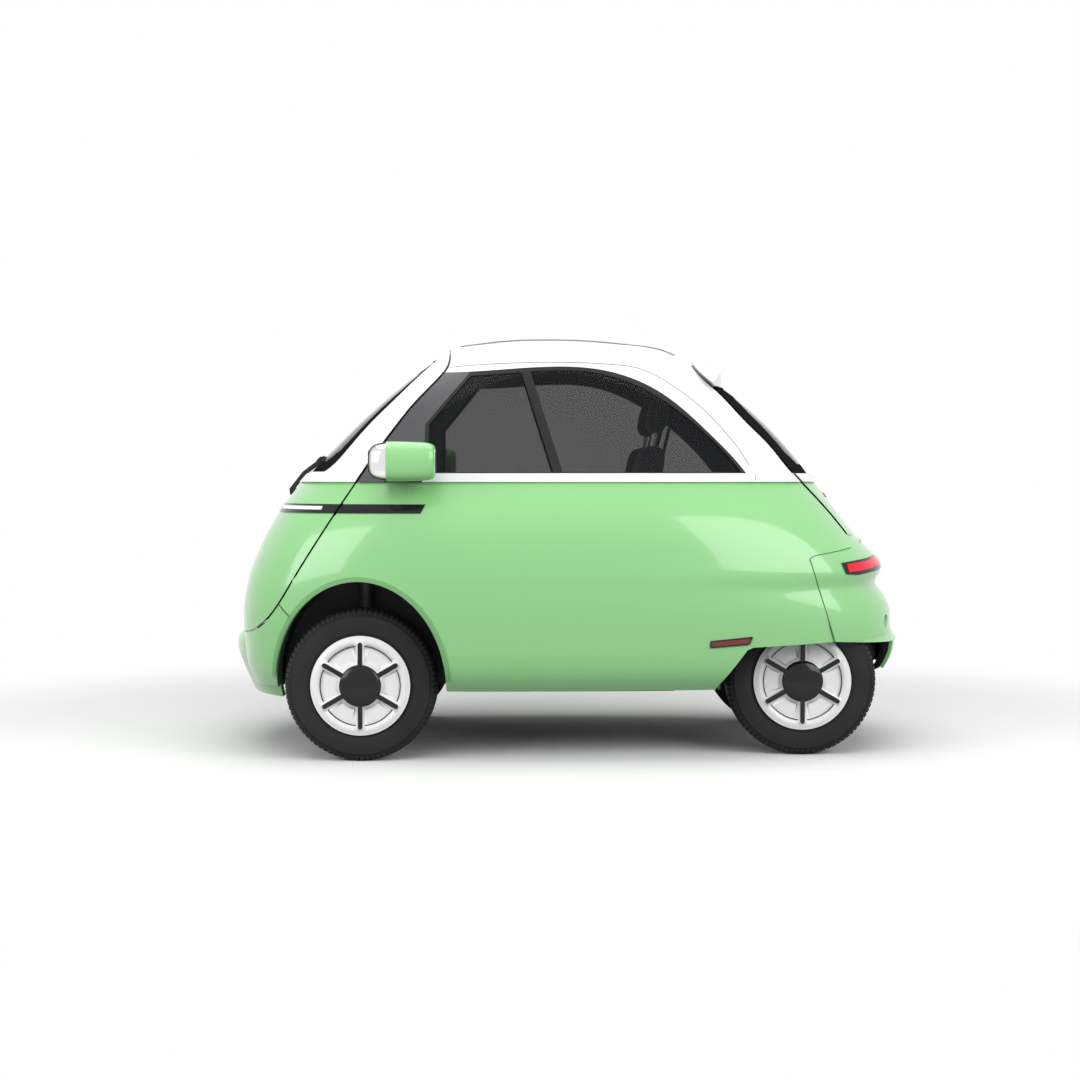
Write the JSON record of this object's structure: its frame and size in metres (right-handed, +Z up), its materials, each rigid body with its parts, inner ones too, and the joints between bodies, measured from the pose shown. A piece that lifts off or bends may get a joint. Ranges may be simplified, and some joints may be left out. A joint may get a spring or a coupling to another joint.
{
  "type": "two-seat microcar",
  "caption": "Egg-shaped two-seat microcar with a front-opening door, wide front track, narrow rear track, tailgate and headlamps in the mirror pods.",
  "frame": {"origin": "on the ground, under the middle of the car's box", "axes": "+X to the rear of the car, +Y to its right side, +Z up"},
  "size_m": [2.481, 1.69, 1.506],
  "materials": {
    "green_paint": "glossy pastel green paint",
    "white_paint": "glossy white paint",
    "dark_panel": "dark grey trim panel",
    "black_plastic": "satin black plastic",
    "black_gloss": "glossy black plastic",
    "seal_rubber": "matt black rubber",
    "tinted_glass": "dark tinted safety glass",
    "lamp_lens": "clear lens over a bright housing",
    "red_lens": "red lamp lens",
    "tyre_rubber": "matt tyre rubber",
    "wheel_white": "white wheel disc",
    "cast_metal": "painted chassis metal",
    "floor_metal": "dark floor paint",
    "housing_metal": "cast aluminium housing",
    "seat_cloth": "dark woven seat cloth",
    "leather_grip": "dark grained rim"
  },
  "bodies": {
    "chassis": {"body_side_left": "green_paint", "body_side_right": "green_paint", "front_bumper": "green_paint", "rear_bumper": "green_paint", "upper_frame": "white_paint", "roof_panel": "white_paint", "belt_trims": "white_paint", "pillar_panels": "dark_panel", "window_seals": "seal_rubber", "side_glass": "tinted_glass", "light_bar_sides": "black_gloss", "floor_pan": "floor_metal", "arch_liners": "black_plastic", "battery_case": "housing_metal", "drive_unit": "housing_metal", "front_suspension": "cast_metal", "rear_suspension": "cast_metal", "seat_cushion": "seat_cloth", "seat_back": "seat_cloth", "steering_column": "black_plastic", "mirror_housings": "green_paint", "headlamps": "lamp_lens", "rear_lamps": "red_lens"},
    "door": {"door_skin": "green_paint", "door_frame": "white_paint", "windshield": "tinted_glass", "light_bar": "black_gloss", "wiper": "black_plastic"},
    "tailgate": {"tailgate_panel": "green_paint", "tailgate_belt": "white_paint", "tailgate_frame": "black_plastic", "rear_glass": "tinted_glass", "rear_spoiler": "white_paint"},
    "steering_wheel": {"steering_wheel": "leather_grip"},
    "knuckle_left": {"knuckle_left": "cast_metal"},
    "knuckle_right": {"knuckle_right": "cast_metal"},
    "wheel_front_left": {"tyre_front_left": "tyre_rubber", "wheel_front_left": "wheel_white"},
    "wheel_front_right": {"tyre_front_right": "tyre_rubber", "wheel_front_right": "wheel_white"},
    "wheel_rear_left": {"tyre_rear_left": "tyre_rubber", "wheel_rear_left": "wheel_white"},
    "wheel_rear_right": {"tyre_rear_right": "tyre_rubber", "wheel_rear_right": "wheel_white"}
  },
  "joints": [
    {"name": "door_pivot", "type": "hinge", "parent": "chassis", "child": "door", "pos_m": [-0.955, -0.634, 0.622], "axis": [0, 0, 1], "range_deg": [0, 70]},
    {"name": "tailgate_hinge", "type": "hinge", "parent": "chassis", "child": "tailgate", "pos_m": [0.46275, 0, 1.411], "axis": [0, -1, 0], "range_deg": [0, 70]},
    {"name": "steering", "type": "hinge", "parent": "chassis", "child": "steering_wheel", "pos_m": [-0.392, -0.3, 0.905], "axis": [0.7071, 0, 0.7071], "range_deg": [-450, 450]},
    {"name": "kingpin_left", "type": "hinge", "parent": "chassis", "child": "knuckle_left", "pos_m": [-0.724, -0.478, 0.2665], "axis": [0, 0, 1], "range_deg": [-30, 30]},
    {"name": "spin_front_left", "type": "hinge", "parent": "knuckle_left", "child": "wheel_front_left", "pos_m": [-0.724, -0.558, 0.2665], "axis": [0, 1, 0], "continuous": true},
    {"name": "spin_rear_left", "type": "hinge", "parent": "chassis", "child": "wheel_rear_left", "pos_m": [0.837, -0.408, 0.2665], "axis": [0, 1, 0], "continuous": true},
    {"name": "kingpin_right", "type": "hinge", "parent": "chassis", "child": "knuckle_right", "pos_m": [-0.724, 0.478, 0.2665], "axis": [0, 0, 1], "range_deg": [-30, 30]},
    {"name": "spin_front_right", "type": "hinge", "parent": "knuckle_right", "child": "wheel_front_right", "pos_m": [-0.724, 0.558, 0.2665], "axis": [0, 1, 0], "continuous": true},
    {"name": "spin_rear_right", "type": "hinge", "parent": "chassis", "child": "wheel_rear_right", "pos_m": [0.837, 0.408, 0.2665], "axis": [0, 1, 0], "continuous": true}
  ],
  "couplings": [
    {"joint": "kingpin_left", "follows": "steering", "ratio": 0.066667},
    {"joint": "kingpin_right", "follows": "steering", "ratio": 0.066667}
  ]
}
